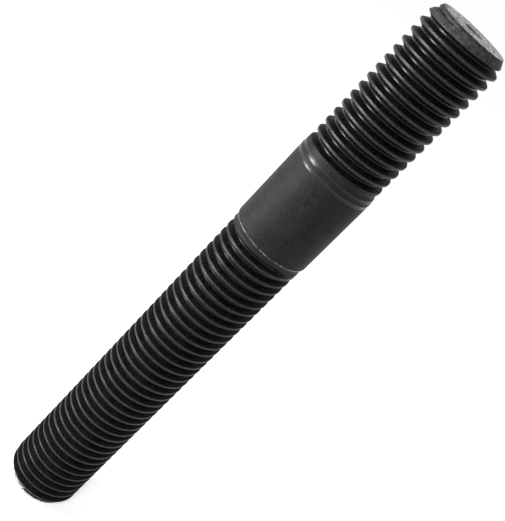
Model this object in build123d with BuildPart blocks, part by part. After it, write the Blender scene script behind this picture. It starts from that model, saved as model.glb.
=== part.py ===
"""Double ended stud, 7/8-9 UNC by 7 in.

One turned and rolled bar. A short thread at the top, a plain shank, and a long thread
below it that ends in the face the stud stands on. Millimetres, +Z up along the bar,
z = 0 on the lower end face.
"""

import os
from math import radians, tan

from build123d import *

# Driving dimensions
INCH = 25.4
length = 7 * INCH
shank_d = 7 / 8 * INCH
pitch = INCH / 9
shank_length = 24.1
short_end_length = 44.4

# Thread form: a 60 degree V, its flanks placed by the pitch diameter
flank_angle = 30
pitch_d = 20.3
crest_d = 21.8

# End faces and the centre hole in the top one
end_face_d = 18.0
end_chamfer_angle = 30
centre_mouth_d = 4.9
centre_angle = 60
pilot_d = 2.0
pilot_depth = 6.5

# The two shoulders. Below the shank the bar shows its diameter before the thread was rolled.
short_shoulder = 1.4
shoulder_angle = 35
blank_d = 20.8
neck_length = 0.6
neck_rise = 0.8

# Thread run: where the groove first crosses the front below each end face, and how far
# from the end face it is cut
short_first_groove = 0.53
short_full_depth = 40.4
long_first_groove = 2.01
long_full_depth = 106.0

# How far the groove cutter stands out of the bar, so that it cuts clean through the crests
cutter_overlap = 1

# Worked out from the above
shank_r = shank_d / 2
crest_r = crest_d / 2
end_face_r = end_face_d / 2
blank_r = blank_d / 2
shank_top = length - short_end_length
shank_bottom = shank_top - shank_length
neck_top = shank_bottom - (shank_r - blank_r) / tan(radians(shoulder_angle))
long_reach = neck_top - neck_length - neck_rise
short_reach = short_end_length - short_shoulder
root_r = pitch_d / 2 - pitch / 4 / tan(radians(flank_angle))


def groove_cutter(turns):
    """The V that a thread groove takes out, climbing right-handed from z = 0 on +X."""
    clear_r = shank_r + cutter_overlap
    half_width = (clear_r - root_r) * tan(radians(flank_angle))
    with BuildPart() as cutter:
        with BuildLine() as path:
            Helix(pitch, turns * pitch, root_r)
        with BuildSketch(Plane.XZ):
            with BuildLine():
                Polyline((root_r, 0), (clear_r, -half_width), (clear_r, half_width), close=True)
            make_face()
        sweep(path=path.line, is_frenet=True)
    return cutter.part


def threaded_end(reach, first_groove, full_depth):
    """A threaded length of bar, its end face on z = 0 and its plain end at z = reach.

    The groove is cut into a bar that runs on past the end face, and the chamfered outline
    is kept from that, so the thread starts through the chamfer as a cut one does.
    """
    lead_in = 2 * pitch
    overrun = 3 * pitch
    turns = (full_depth - first_groove + lead_in) / pitch
    envelope_r = shank_r
    with BuildPart() as end:
        with Locations((0, 0, -overrun)):
            Cylinder(crest_r, overrun + reach, align=(Align.CENTER, Align.CENTER, Align.MIN))
        with Locations(Location((0, 0, first_groove - lead_in), (0, 0, -90))):
            add(groove_cutter(turns), mode=Mode.SUBTRACT)
        with BuildSketch(Plane.XZ):
            with BuildLine():
                Polyline(
                    (0, 0),
                    (end_face_r, 0),
                    (envelope_r, (envelope_r - end_face_r) / tan(radians(end_chamfer_angle))),
                    (envelope_r, reach),
                    (0, reach),
                    close=True,
                )
            make_face()
        revolve(axis=Axis.Z, mode=Mode.INTERSECT)
    return end.part


long_end = threaded_end(long_reach, long_first_groove, long_full_depth)
short_end = threaded_end(short_reach, short_first_groove, short_full_depth)

with BuildPart() as stud:
    # Shank with its shoulders and the neck below it
    with BuildSketch(Plane.XZ):
        with BuildLine():
            Polyline(
                (0, long_reach),
                (crest_r, long_reach),
                (blank_r, long_reach + neck_rise),
                (blank_r, neck_top),
                (shank_r, shank_bottom),
                (shank_r, shank_top),
                (crest_r, shank_top + short_shoulder),
                (0, shank_top + short_shoulder),
                close=True,
            )
        make_face()
    revolve(axis=Axis.Z)

    # Threaded ends: the long one stands on its face, the short one is turned over
    add(long_end)
    with Locations(Location((0, 0, length), (0, 180, 0))):
        add(short_end)

    # Centre hole in the top face: a pilot hole with a conical mouth
    with Locations((0, 0, length)):
        CounterSinkHole(pilot_d / 2, centre_mouth_d / 2, pilot_depth, centre_angle)

stud.part.label = "stud"
os.makedirs("parts", exist_ok=True)
export_step(stud.part, "parts/stud.step")
print("stud", stud.part.is_valid, len(stud.part.faces()), "faces", round(stud.part.volume), "mm3")
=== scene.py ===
# %% [markdown]
# # A double ended stud in black steel
# The stud is one turned bar with a rolled thread on each end. The frame holds it as a plain
# solid with sharp V grooves. A real rolled thread has rounded roots and blunt crests, and its
# grooves fade out over part of a turn, so the looks come from one new skin in the same place.

# %% Open the frame
from math import cos, pi, radians, sin, tan

import bmesh
import bpy
import numpy as np
from mathutils import Matrix, Vector


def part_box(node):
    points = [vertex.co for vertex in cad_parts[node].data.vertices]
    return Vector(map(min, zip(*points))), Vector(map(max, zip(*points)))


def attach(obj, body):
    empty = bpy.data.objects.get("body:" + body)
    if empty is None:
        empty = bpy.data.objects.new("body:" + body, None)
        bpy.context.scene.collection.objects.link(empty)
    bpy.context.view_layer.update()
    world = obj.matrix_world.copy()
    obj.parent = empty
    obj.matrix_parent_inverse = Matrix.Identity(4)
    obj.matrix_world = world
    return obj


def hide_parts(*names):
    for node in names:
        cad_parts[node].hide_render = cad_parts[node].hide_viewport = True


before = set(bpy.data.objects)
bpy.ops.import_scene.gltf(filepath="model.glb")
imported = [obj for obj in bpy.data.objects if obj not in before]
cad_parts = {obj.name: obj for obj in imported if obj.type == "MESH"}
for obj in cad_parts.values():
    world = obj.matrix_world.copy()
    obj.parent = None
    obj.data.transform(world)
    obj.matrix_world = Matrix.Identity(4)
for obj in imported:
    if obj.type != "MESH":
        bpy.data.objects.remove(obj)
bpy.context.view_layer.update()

low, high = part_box("stud")
MM = 0.001
LENGTH = (high.z - low.z) / MM
SHANK_R = (high.x - low.x) / 2 / MM
print("stud", round(LENGTH, 3), "mm long,", round(2 * SHANK_R, 3), "mm shank")

# %% [markdown]
# ## Sizes of the real thread
# A 60 degree thread is set by its pitch and its pitch diameter, the width at which groove and
# ridge are equally wide. The flanks rise from there at 30 degrees off square. Rolling leaves
# the root a little rounded and the crest a little flat.

# %% Thread sizes in millimetres
PITCH = 25.4 / 9
FLANK_ANGLE = radians(30)
FLANK_RISE = 1 / tan(FLANK_ANGLE)
PITCH_R = 10.15
ROOT_R = 9.36
ROOT_ROUND = 0.07
CREST_ROUND = 0.09

END_FACE_R = 9.0
CHAMFER_ANGLE = radians(30)
CHAMFER_RISE = tan(CHAMFER_ANGLE)
BLANK_R = 10.62

LONG_GROOVE_Z = 2.01
SHORT_GROOVE_Z = LENGTH - 0.53
TURNS_BETWEEN = 62
PHASE_SHIFT = SHORT_GROOVE_Z - LONG_GROOVE_Z - TURNS_BETWEEN * PITCH
print("thread phases differ by", round(PHASE_SHIFT, 3), "mm")

# %% [markdown]
# ## Shoulders and crests
# The bar is thinner than its shank before a thread is rolled, and rolling raises the crests.
# Below the shank a short neck still shows that first diameter. The crests grow a little
# along the long thread, so each crest radius is a pair, for the bottom and the top.

# %% Heights of the shoulders
SHANK_BOTTOM = LENGTH - 68.5
SHOULDER_ANGLE = radians(26)
NECK_TOP = SHANK_BOTTOM - (SHANK_R - BLANK_R) / tan(SHOULDER_ANGLE)
NECK_BOTTOM = NECK_TOP - 0.5
LONG_CREST_TOP = NECK_BOTTOM - 0.6
SHANK_TOP = LENGTH - 44.4
SHORT_CREST_BOTTOM = LENGTH - 42.2
LONG_CREST_R = (11.08, 10.8)
SHORT_CREST_R = (10.9, 10.86)
print("shank from", round(SHANK_BOTTOM, 2), "to", round(SHANK_TOP, 2))


# %% [markdown]
# ## The bar without its grooves
# The outline is a list of heights and radii, like the template a lathe follows. Between two
# heights the radius changes in a straight line, which gives chamfers and shoulders. It runs
# on past both end faces, so that the rows there still have a radius before they are cut off.

# %% Outline of the bar
RUN_PAST = 6.0
SHOULDER_ROUND_Z = (0.12, 0.1)
SHOULDER_ROUND_R = 0.05


def chamfer_height(crest_r):
    return (crest_r - END_FACE_R) / CHAMFER_RISE


OUTLINE = [
    (-RUN_PAST, END_FACE_R - RUN_PAST * CHAMFER_RISE),
    (0.0, END_FACE_R),
    (chamfer_height(LONG_CREST_R[0]), LONG_CREST_R[0]),
    (LONG_CREST_TOP, LONG_CREST_R[1]),
    (NECK_BOTTOM, BLANK_R),
    (NECK_TOP, BLANK_R),
    (SHANK_BOTTOM - SHOULDER_ROUND_Z[0], SHANK_R - SHOULDER_ROUND_R),
    (SHANK_BOTTOM + SHOULDER_ROUND_Z[1], SHANK_R),
    (SHANK_TOP, SHANK_R),
    (SHORT_CREST_BOTTOM, SHORT_CREST_R[0]),
    (LENGTH - chamfer_height(SHORT_CREST_R[1]), SHORT_CREST_R[1]),
    (LENGTH, END_FACE_R),
    (LENGTH + RUN_PAST, END_FACE_R - RUN_PAST * CHAMFER_RISE),
]
outline_z = np.array([z for z, r in OUTLINE])
outline_r = np.array([r for z, r in OUTLINE])
print("outline of", len(OUTLINE), "points")


def bar_radius(z):
    return np.interp(z, outline_z, outline_r)


# %% [markdown]
# ## The groove
# A groove is a V whose bottom and top corners are rounded. A soft minimum and a soft maximum
# of the three lines, root, flank and crest, give those rounds without any extra shapes.

# %% Groove profile
def soft_min(a, b, width):
    blend = np.clip(0.5 + 0.5 * (b - a) / width, 0, 1)
    return b * (1 - blend) + a * blend - width * blend * (1 - blend)


def soft_max(a, b, width):
    return -soft_min(-a, -b, width)


def smooth_step(low_edge, high_edge, value):
    t = np.clip((value - low_edge) / (high_edge - low_edge), 0, 1)
    return t * t * (3 - 2 * t)


def groove_radius(from_centre, crest_r):
    flank = PITCH_R + (from_centre - PITCH / 4) * FLANK_RISE
    return soft_max(ROOT_R, soft_min(flank, crest_r, CREST_ROUND * 2), ROOT_ROUND * 2)


print("ridge and groove meet at", round(float(groove_radius(PITCH / 4, SHANK_R)), 2), "mm")


# %% [markdown]
# ## Where the grooves fade
# Thread rolling stops within a turn, so a groove gets shallow before it ends. The fade is
# worked out along the middle of each groove, which keeps both of its flanks alike.

# %% Depth along each groove
LONG_FADE = (37.02, 37.2)
SHORT_FADE = (-15.05, -14.15)
SHANK_TURN = 42


def groove_depth(turn):
    long_depth = 1 - smooth_step(*LONG_FADE, turn)
    short_depth = smooth_step(*SHORT_FADE, turn - TURNS_BETWEEN)
    return np.where(turn < SHANK_TURN, long_depth, short_depth)


def phase_shift(z):
    return PHASE_SHIFT * smooth_step(SHANK_BOTTOM, SHANK_TOP, z)


print("long thread fades at turn", LONG_FADE[1], "and the short one at", SHORT_FADE[0])

# %% [markdown]
# ## Rings and folds
# Two shallow rings, tool marks, run round the shank near its top. Rolled crests close like a
# seam, with a fine fold along the middle. Both are soft dips in the radius, since a cut shape
# for each would take far more faces.

# %% Radius of the finished skin
WITNESS_RINGS = [(LENGTH - 43.7, 0.08), (LENGTH - 45.5, 0.06)]
RING_WIDTH = 0.42
FOLD_DEPTH = 0.1
FOLD_WIDTH = 0.11
FOLD_GROWS = (30, 100)


def skin_radius(around, z):
    """Radius in mm at an angle from the front, in turns, and a height."""
    bar = bar_radius(z)
    position = (z - LONG_GROOVE_Z - phase_shift(z)) / PITCH - around
    nearest = np.round(position)
    from_centre = np.abs(position - nearest) * PITCH
    is_long = z < SHANK_BOTTOM
    crest = np.where(is_long, np.interp(z, [0, LONG_CREST_TOP], LONG_CREST_R), SHORT_CREST_R[1])
    groove = groove_radius(from_centre, crest)
    fold = FOLD_DEPTH * smooth_step(*FOLD_GROWS, z) * is_long
    groove = groove - fold * np.exp(-(((PITCH / 2 - from_centre) / FOLD_WIDTH) ** 2))
    depth = groove_depth(nearest + around)
    radius = bar - depth * np.maximum(bar - groove, 0)
    for ring_z, ring_depth in WITNESS_RINGS:
        radius = radius - ring_depth * np.exp(-(((z - ring_z) / RING_WIDTH) ** 2))
    return radius


mid_shank = (SHANK_BOTTOM + SHANK_TOP) / 2
print("radius at mid shank", round(float(skin_radius(0.0, mid_shank)), 4), "mm")


# %% [markdown]
# ## A skin that follows the helix
# A grid of level rings would cut across the grooves and make saw teeth. Here the rows climb
# with the thread instead: going once round, row k meets row k + 1 pitch. So every row stays
# on the same line of the profile, and the crest is a clean edge all the way.

# %% Rows and columns of the helical grid
COLUMNS = 72
HALF_ROWS = np.array([0.18, 0.26, 0.36, 0.62, 0.88, 1.06, 1.15, 1.23, 1.32]) / PITCH
profile_rows = np.concatenate([[0], HALF_ROWS, [0.5], 1 - HALF_ROWS[::-1]])
ROWS = len(profile_rows)
SPARE_TURNS = 3
first_turn = -SPARE_TURNS
last_turn = TURNS_BETWEEN + SPARE_TURNS
row_turns = np.concatenate([profile_rows + n for n in range(first_turn, last_turn)])


def grid_height(turn):
    flat = LONG_GROOVE_Z + PITCH * turn
    return flat + phase_shift(flat)


columns = np.arange(COLUMNS) / COLUMNS
grid_turn = row_turns[:, None] + columns[None, :]
grid_z = grid_height(grid_turn)
grid_around = np.broadcast_to(columns[None, :], grid_z.shape)
print("grid", grid_z.shape, "with", ROWS, "rows per pitch")


# %% Grid to mesh
def point(around, radius, z):
    angle = 2 * pi * around
    return np.stack([radius * np.sin(angle), -radius * np.cos(angle), z], axis=-1)


def helical_faces(row_count):
    faces = []
    for row in range(row_count - ROWS - 1):
        for column in range(COLUMNS):
            a = row * COLUMNS + column
            b = a + COLUMNS
            wraps = column == COLUMNS - 1
            right = a + 1 if not wraps else (row + ROWS) * COLUMNS
            up_right = b + 1 if not wraps else (row + 1 + ROWS) * COLUMNS
            faces.append((a, right, up_right, b))
    return faces


skin = bpy.data.meshes.new("stud_skin")
grid_points = point(grid_around, np.full(grid_z.shape, SHANK_R), grid_z).reshape(-1, 3)
skin.from_pydata(grid_points.tolist(), [], helical_faces(len(row_turns)))
print("bare skin", len(skin.vertices), "points")

# %% [markdown]
# ## Square cuts
# The end faces and the shoulders are level circles that the climbing rows can't follow. The
# bare skin is cut with level planes at those heights, and only then pressed to shape.

# %% Cut the skin at the ends and shoulders
RING_STEPS = (-0.8, -0.5, -0.25, 0, 0.25, 0.5, 0.8)
work = bmesh.new()
work.from_mesh(skin)


def level_cut(z, keep):
    everything = work.verts[:] + work.edges[:] + work.faces[:]
    bmesh.ops.bisect_plane(
        work,
        geom=everything,
        plane_co=(0, 0, z),
        plane_no=(0, 0, 1),
        clear_inner=keep == "above",
        clear_outer=keep == "below",
    )


level_cut(0, "above")
level_cut(LENGTH, "below")
NECK_TO_SHANK = slice(4, 9)
for cut_z, _ in OUTLINE[NECK_TO_SHANK]:
    level_cut(cut_z, "both")
for ring_z, _ in WITNESS_RINGS:
    for step in RING_STEPS:
        level_cut(ring_z + step, "both")
loose = [v for v in work.verts if not v.link_faces]
bmesh.ops.delete(work, geom=loose, context="VERTS")
work.to_mesh(skin)
print("cut skin", len(skin.vertices), "points")

# %% [markdown]
# ## Pressing to shape
# Every point of the cut skin keeps its height and its direction from the axis. Only its
# distance from the axis changes, to what the groove, the fades and the rings ask for there.

# %% Press the skin to its shape
flat = np.zeros(len(skin.vertices) * 3)
skin.vertices.foreach_get("co", flat)
flat = flat.reshape(-1, 3)
around = (np.arctan2(flat[:, 0], -flat[:, 1]) / (2 * pi)) % 1
shaped = point(around, skin_radius(around, flat[:, 2]), flat[:, 2])
skin.vertices.foreach_set("co", shaped.reshape(-1))
skin.update()
print("pressed, widest radius", round(float(np.hypot(shaped[:, 0], shaped[:, 1]).max()), 4), "mm")

# %% [markdown]
# ## Who gets which finish
# Black oxide covers the bar, and rolling polishes the crests. The grooves are given a darker
# grey, which is painted shade; the shoulder rim and a crescent at the bottom end a lighter one,
# which is painted highlight and painted reflection. Where a facet lies on the thread profile,
# and how deep, says which of these it is. A finish is then a material number on the facet,
# and needs no painted map.

# %% Which finish each facet gets
MATTE, BARE_AND_REFLECTION, ROLLED, FLANK, RING, RIM, HOLE, ROOT, BAND = range(9)
CREST_FROM = 1.0
SHALLOW = 0.2
ROOT_WIDTH = 0.2
ROOT_DEPTH = 0.9
RING_HALF = 0.5
RIM_HALF = 0.12
END_ZONE = 3.0
PAINTED_LIGHT_HEIGHT = 2.6
PAINTED_LIGHT_POSITION = -0.1
FADE_MARGIN = 0.2
centres = np.zeros(len(skin.polygons) * 3)
skin.polygons.foreach_get("center", centres)
centres = centres.reshape(-1, 3)
face_z = centres[:, 2]
face_around = (np.arctan2(centres[:, 0], -centres[:, 1]) / (2 * pi)) % 1
face_r = np.hypot(centres[:, 0], centres[:, 1])
position = (face_z - LONG_GROOVE_Z - phase_shift(face_z)) / PITCH - face_around
from_centre = np.abs(position - np.round(position)) * PITCH
sunk = bar_radius(face_z) - face_r
crest_zone = (from_centre > CREST_FROM) & (sunk < SHALLOW)
turn_here = position + face_around
on_long = turn_here < LONG_FADE[0]
on_short = turn_here - TURNS_BETWEEN > SHORT_FADE[1] - FADE_MARGIN
threaded = on_long | on_short
finish = np.where(crest_zone & threaded, ROLLED, MATTE)
# Facets sunk in a groove get the darker flank grey, which is painted shade.
finish = np.where(sunk > SHALLOW, FLANK, finish)
finish = np.where((from_centre < ROOT_WIDTH) & (sunk > ROOT_DEPTH), ROOT, finish)
# The witness rings get a darker grey than the shank, a painted dark reflection.
for ring_z, _ in WITNESS_RINGS:
    finish = np.where(np.abs(face_z - ring_z) < RING_HALF, RING, finish)
# The shoulder rim gets a lighter grey, a painted highlight.
finish = np.where(np.abs(face_z - SHANK_BOTTOM) < RIM_HALF, RIM, finish)
end_zone = (face_z < END_ZONE) | (face_z > LENGTH - END_ZONE)
finish = np.where(end_zone, np.where(sunk > SHALLOW, FLANK, BAND), finish)
# A pale crescent on the bottom chamfer, below the first groove, gets the faced-end grey: a painted
# reflection.
painted_light = (face_z < PAINTED_LIGHT_HEIGHT) & (position < PAINTED_LIGHT_POSITION) & (sunk < SHALLOW)
finish = np.where(painted_light, BARE_AND_REFLECTION, finish)
skin.polygons.foreach_set("material_index", finish.astype(np.int32))
work.free()
print("facets per finish", np.bincount(finish, minlength=9).tolist())

# %% [markdown]
# ## Closing the ends
# The open rim is drawn inwards ring by ring. At the top it goes down into the centre hole,
# the small cone and pilot that a lathe centre runs in. The bottom face is plain.

# %% End faces and the centre hole
TOP_RINGS = [(8.9, 0.0), (5.5, 0.0), (2.75, 0.0), (2.45, 0.1), (1.0, 2.55), (1.0, 6.5)]
BOTTOM_RINGS = [(8.9, 0.0), (5.0, 0.0)]
ON_RIM = 0.001
ON_FACE = 0.01
SAME_POINT = 0.0005

work = bmesh.new()
work.from_mesh(skin)


def rim_edges(z):
    open_edges = [e for e in work.edges if e.is_boundary]
    return [e for e in open_edges if all(abs(v.co.z - z) < ON_RIM for v in e.verts)]


def close_end(z, rings, inward):
    edges = rim_edges(z)
    for ring_r, ring_depth in rings:
        made = bmesh.ops.extrude_edge_only(work, edges=edges)["geom"]
        edges = [g for g in made if isinstance(g, bmesh.types.BMEdge) and g.is_boundary]
        for v in {v for e in edges for v in e.verts}:
            scale = ring_r / v.co.xy.length
            v.co = (v.co.x * scale, v.co.y * scale, z + inward * ring_depth)
        for g in made:
            if isinstance(g, bmesh.types.BMFace):
                g.material_index = BARE_AND_REFLECTION if ring_depth == 0 else HOLE
    last = list({v for e in edges for v in e.verts})
    bmesh.ops.pointmerge(work, verts=last, merge_co=(0, 0, z + inward * rings[-1][1]))
    print("closed the end at", z, "with", len(rings), "rings")


close_end(LENGTH, TOP_RINGS, -1)
close_end(0.0, BOTTOM_RINGS, 1)
for f in work.faces:
    if all(abs(v.co.z) < ON_FACE or abs(v.co.z - LENGTH) < ON_FACE for v in f.verts):
        f.material_index = BARE_AND_REFLECTION
bmesh.ops.remove_doubles(work, verts=work.verts[:], dist=SAME_POINT)
bmesh.ops.recalc_face_normals(work, faces=work.faces[:])
work.to_mesh(skin)
work.free()

# %% [markdown]
# ## Shading
# Smooth shading makes the flanks and the shank read as curved. Edges sharper than 40 degrees
# stay crisp, as the turned edges of the faces are. The mesh was made in millimetres and is
# scaled to metres here.

# %% Smooth shading and size in metres
SHARP_ANGLE = radians(40)
skin.transform(Matrix.Scale(MM, 4))
skin.shade_smooth()
skin.set_sharp_from_angle(angle=SHARP_ANGLE)
stud = bpy.data.objects.new("stud_body", skin)
bpy.context.scene.collection.objects.link(stud)
print("stud_body", sum(len(p.vertices) - 2 for p in skin.polygons), "triangles")


# %% [markdown]
# ## Grain shared by all finishes
# Black oxide and bare steel both show fine specks, wider clouds and faint lines round the
# bar from rolling or turning. One node group makes these, and each finish sets its own
# amounts.

# %% Node helpers
def node(tree, kind, **inputs):
    made = tree.nodes.new(kind)
    for name, value in inputs.items():
        made.inputs[name.replace("_", " ")].default_value = value
    return made


def maths(tree, operation, a, b, clamp=False):
    made = tree.nodes.new("ShaderNodeMath")
    made.operation = operation
    made.use_clamp = clamp
    for socket, value in zip(made.inputs, (a, b)):
        if isinstance(value, (int, float)):
            socket.default_value = value
        else:
            tree.links.new(value, socket)
    return made.outputs[0]


# %% Grain group
grain = bpy.data.node_groups.new("steel grain", "ShaderNodeTree")
grain_in = {
    "Size": 2500.0,
    "Specks": 0.3,
    "Clouds": 0.2,
    "Lines": 0.2,
}
for socket_name, start in grain_in.items():
    socket = grain.interface.new_socket(socket_name, in_out="INPUT", socket_type="NodeSocketFloat")
    socket.default_value = start
grain.interface.new_socket("Tone", in_out="OUTPUT", socket_type="NodeSocketFloat")
grain.interface.new_socket("Height", in_out="OUTPUT", socket_type="NodeSocketFloat")

CLOUD_SCALE = 260
GRAIN_GAIN = 4.0
DARKEST = 0.1
LINE_STRETCH = (40, 40, 5200)
group_in = grain.nodes.new("NodeGroupInput")
group_out = grain.nodes.new("NodeGroupOutput")
place = grain.nodes.new("ShaderNodeTexCoord")
specks = node(grain, "ShaderNodeTexNoise", Detail=2.0, Roughness=0.7)
grain.links.new(group_in.outputs["Size"], specks.inputs["Scale"])
clouds = node(grain, "ShaderNodeTexNoise", Scale=CLOUD_SCALE, Detail=3.0, Roughness=0.6)
stretch = grain.nodes.new("ShaderNodeMapping")
stretch.inputs["Scale"].default_value = LINE_STRETCH
lines = node(grain, "ShaderNodeTexNoise", Scale=1.0, Detail=2.0, Roughness=0.5)
grain.links.new(place.outputs["Object"], specks.inputs["Vector"])
grain.links.new(place.outputs["Object"], clouds.inputs["Vector"])
grain.links.new(place.outputs["Object"], stretch.inputs["Vector"])
grain.links.new(stretch.outputs["Vector"], lines.inputs["Vector"])
tone = 1.0
for texture, amount in ((specks, "Specks"), (clouds, "Clouds"), (lines, "Lines")):
    centred = maths(grain, "SUBTRACT", texture.outputs["Fac"], 0.5)
    scaled = maths(grain, "MULTIPLY", centred, group_in.outputs[amount])
    gained = maths(grain, "MULTIPLY", scaled, GRAIN_GAIN)
    tone = maths(grain, "ADD", gained, tone)
tone = maths(grain, "MAXIMUM", tone, DARKEST)
height = maths(grain, "ADD", specks.outputs["Fac"], lines.outputs["Fac"])
grain.links.new(tone, group_out.inputs["Tone"])
grain.links.new(height, group_out.inputs["Height"])
print("group", grain.name, "with", len(grain.nodes), "nodes")


# %% [markdown]
# ## Finishes
# Black oxide is darkest down in the grooves, which is painted shade. Crests are rolled smooth
# and the shank is handled, so both are greyer. The faces were turned last and are nearly bare.
# All are the same shader with a grey tone, a gloss and a share of the grain, so one helper
# makes them, and the numbers say how each differs.

# %% Finish helper
RELIEF_HEIGHT = 0.00007
BLUE_TINT = 1.005


def grey(value):
    return (value, value, value * BLUE_TINT, 1.0)


def start_finish(name, roughness, bump):
    material = bpy.data.materials.new(name)
    material.use_nodes = True
    tree = material.node_tree
    shader = tree.nodes["Principled BSDF"]
    shader.inputs["Roughness"].default_value = roughness
    amounts = tree.nodes.new("ShaderNodeGroup")
    amounts.node_tree = grain
    relief = node(tree, "ShaderNodeBump", Strength=bump, Distance=RELIEF_HEIGHT)
    tree.links.new(amounts.outputs["Height"], relief.inputs["Height"])
    tree.links.new(relief.outputs["Normal"], shader.inputs["Normal"])
    return material, tree, shader, amounts


def tinted(tree, colour_socket, tone_socket, shader):
    mix = tree.nodes.new("ShaderNodeVectorMath")
    mix.operation = "SCALE"
    tree.links.new(colour_socket, mix.inputs[0])
    tree.links.new(tone_socket, mix.inputs["Scale"])
    tree.links.new(mix.outputs[0], shader.inputs["Base Color"])


# %% Black oxide on the shank, the thread and the end bands
def steel_finish(name, shade, roughness, gloss, bump, size, specks, clouds, lines):
    material, tree, shader, amounts = start_finish(name, roughness, bump)
    shader.inputs["Specular IOR Level"].default_value = gloss
    shares = {"Size": size, "Specks": specks, "Clouds": clouds, "Lines": lines}
    for socket_name, amount in shares.items():
        amounts.inputs[socket_name].default_value = amount
    colour = tree.nodes.new("ShaderNodeRGB")
    colour.outputs[0].default_value = grey(shade)
    tinted(tree, colour.outputs[0], amounts.outputs["Tone"], shader)
    return material


matte = steel_finish("matte black oxide", 0.0085, 0.55, 0.15, 0.7, 2200, 0.8, 0.4, 0.1)
rolled = steel_finish("rolled black oxide", 0.009, 0.36, 0.31, 1.0, 2600, 3.6, 0.5, 0.3)
# The flank grey is darker than the shank, as painted shade in the grooves.
flank = steel_finish("groove flank with painted shade", 0.0035, 0.45, 0.08, 0.8, 1800, 2.0, 0.5, 0.1)
# Painted dark reflection: the ring grey is darker than the shank.
ring = steel_finish("burnished ring with painted dark reflection", 0.002, 0.29, 0.38, 0.4, 2200, 0.5, 0.2, 0.2)
# Painted highlight: the rim grey is lighter than the shank, with dense specks.
rim = steel_finish("worn shoulder rim", 0.05, 0.35, 0.5, 1.0, 1100, 8.0, 0.5, 0.0)
hole = steel_finish("centre hole", 0.11, 0.6, 0.3, 0.5, 2200, 0.9, 0.3, 0.0)
# The root grey is as dark as the flanks, which is painted shade too.
root = steel_finish("groove root", 0.003, 0.25, 0.2, 0.4, 2200, 1.0, 0.3, 0.2)
band = steel_finish("turned end band", 0.02, 0.5, 0.25, 0.8, 1500, 1.4, 1.0, 0.4)
black_finishes = (matte, rolled, flank, ring, rim, hole, root, band)
print("black finishes", [m.name for m in black_finishes])

# %% Bare end face
# The same finish paints the pale crescent at the bottom end, a painted reflection.
bare = steel_finish("faced end, also painted reflection", 0.35, 0.5, 0.5, 1.0, 1600, 2.2, 0.3, 0.0)

for finish_material in (matte, bare, rolled, flank, ring, rim, hole, root, band):
    skin.materials.append(finish_material)
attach(stud, "root")
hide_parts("stud")
print("finishes", [m.name for m in skin.materials])

# %% [markdown]
# ## Room, light and camera
# A pale floor and an even white room give the soft look of a catalogue picture. A tall soft
# lamp to the left draws the streak of light along the crests.

# %% Floor
FLOOR_SIZE = 8.0
FLOOR_GREY = 0.9
FLOOR_GLOW = 0.42
floor_mesh = bpy.data.meshes.new("floor")
corners = [(-1, -1), (1, -1), (1, 1), (-1, 1)]
floor_points = [(x * FLOOR_SIZE / 2, y * FLOOR_SIZE / 2, 0) for x, y in corners]
floor_mesh.from_pydata(floor_points, [], [(0, 1, 2, 3)])
floor = bpy.data.objects.new("floor", floor_mesh)
bpy.context.scene.collection.objects.link(floor)
pale = bpy.data.materials.new("pale floor")
pale.use_nodes = True
pale_shader = pale.node_tree.nodes["Principled BSDF"]
pale_shader.inputs["Base Color"].default_value = (FLOOR_GREY, FLOOR_GREY, FLOOR_GREY, 1)
pale_shader.inputs["Roughness"].default_value = 0.9
pale_shader.inputs["Specular IOR Level"].default_value = 0.0
pale_shader.inputs["Emission Color"].default_value = (1, 1, 1, 1)
pale_shader.inputs["Emission Strength"].default_value = FLOOR_GLOW
floor_mesh.materials.append(pale)
print("floor", FLOOR_SIZE, "m wide")

# %% [markdown]
# ## The white room
# The camera sees the world as plain white. The object is lit by a weaker white, so that the
# black finish stays dark. The Light Path node tells the two apart.

# %% World
ROOM_LIGHT = 0.62
world = bpy.data.worlds.new("white room")
bpy.context.scene.world = world
world.use_nodes = True
tree = world.node_tree
tree.nodes.clear()
seen = node(tree, "ShaderNodeBackground", Color=(1, 1, 1, 1), Strength=1.0)
lit = node(tree, "ShaderNodeBackground", Color=(1, 1, 1, 1), Strength=ROOM_LIGHT)
path = tree.nodes.new("ShaderNodeLightPath")
choose = tree.nodes.new("ShaderNodeMixShader")
output = tree.nodes.new("ShaderNodeOutputWorld")
tree.links.new(path.outputs["Is Camera Ray"], choose.inputs["Fac"])
tree.links.new(lit.outputs[0], choose.inputs[1])
tree.links.new(seen.outputs[0], choose.inputs[2])
tree.links.new(choose.outputs[0], output.inputs["Surface"])
print("room light", ROOM_LIGHT)


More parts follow.
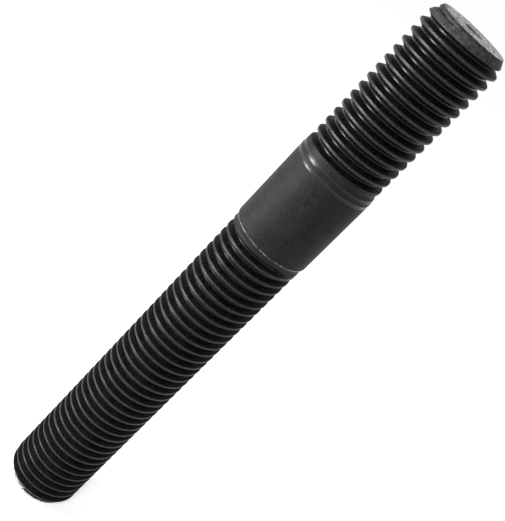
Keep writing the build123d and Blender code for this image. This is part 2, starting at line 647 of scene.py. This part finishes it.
# %% [markdown]
# ## Lamps
# Area lamps give soft edges to a highlight. The strip is tall, so its reflection runs the
# whole length of the bar. A very weak small one picks out the standing end.

# %% Lamps
def soft_lamp(name, place, aim, size, power, spread=180):
    lamp = bpy.data.lights.new(name, "AREA")
    lamp.shape = "RECTANGLE"
    lamp.size, lamp.size_y = size
    lamp.energy = power
    lamp.spread = radians(spread)
    holder = bpy.data.objects.new(name, lamp)
    holder.location = place
    holder.rotation_euler = (Vector(aim) - Vector(place)).to_track_quat("-Z", "Y").to_euler()
    bpy.context.scene.collection.objects.link(holder)
    print("lamp", name, power, "W")


MIDDLE = (0, 0, LENGTH * MM / 2)
soft_lamp("left_strip", (-0.5, -0.24, 0.10), MIDDLE, (0.16, 0.5), 8.5)
soft_lamp("low_fill", (-0.05, -0.30, 0.30), (0, 0, 0.01), (0.06, 0.06), 0.012, 30)

# %% [markdown]
# ## Camera
# The bar stands upright, and the camera is rolled about its own line of sight to lay it
# across the picture. Three directions, ahead, right and up, build its matrix.

# %% Camera
ELEVATION = radians(25.025)
SIDEWAYS = radians(0.1265)
ROLL = radians(44.38)
PLACE = Vector((0, -0.2107, 0.1990))
LENS = 63.04
SENSOR = 36
NEAR = 0.01
SHIFT_UP = 0.0019
outward = cos(ELEVATION)
ahead = Vector((sin(SIDEWAYS) * outward, cos(SIDEWAYS) * outward, -sin(ELEVATION)))
level = ahead.cross(Vector((0, 0, 1))).normalized()
upright = level.cross(ahead)
right = level * cos(ROLL) + upright * sin(ROLL)
up = upright * cos(ROLL) - level * sin(ROLL)
view = Matrix((right, up, -ahead)).transposed().to_4x4()
view.translation = PLACE
camera_data = bpy.data.cameras.new("camera")
camera_data.lens = LENS
camera_data.sensor_width = SENSOR
camera_data.clip_start = NEAR
camera_data.shift_y = SHIFT_UP
camera = bpy.data.objects.new("camera", camera_data)
camera.matrix_world = view
bpy.context.scene.collection.objects.link(camera)
bpy.context.scene.camera = camera
bpy.context.scene.view_settings.view_transform = "Standard"
print("camera", round(PLACE.length, 3), "m away, lens", LENS, "mm")
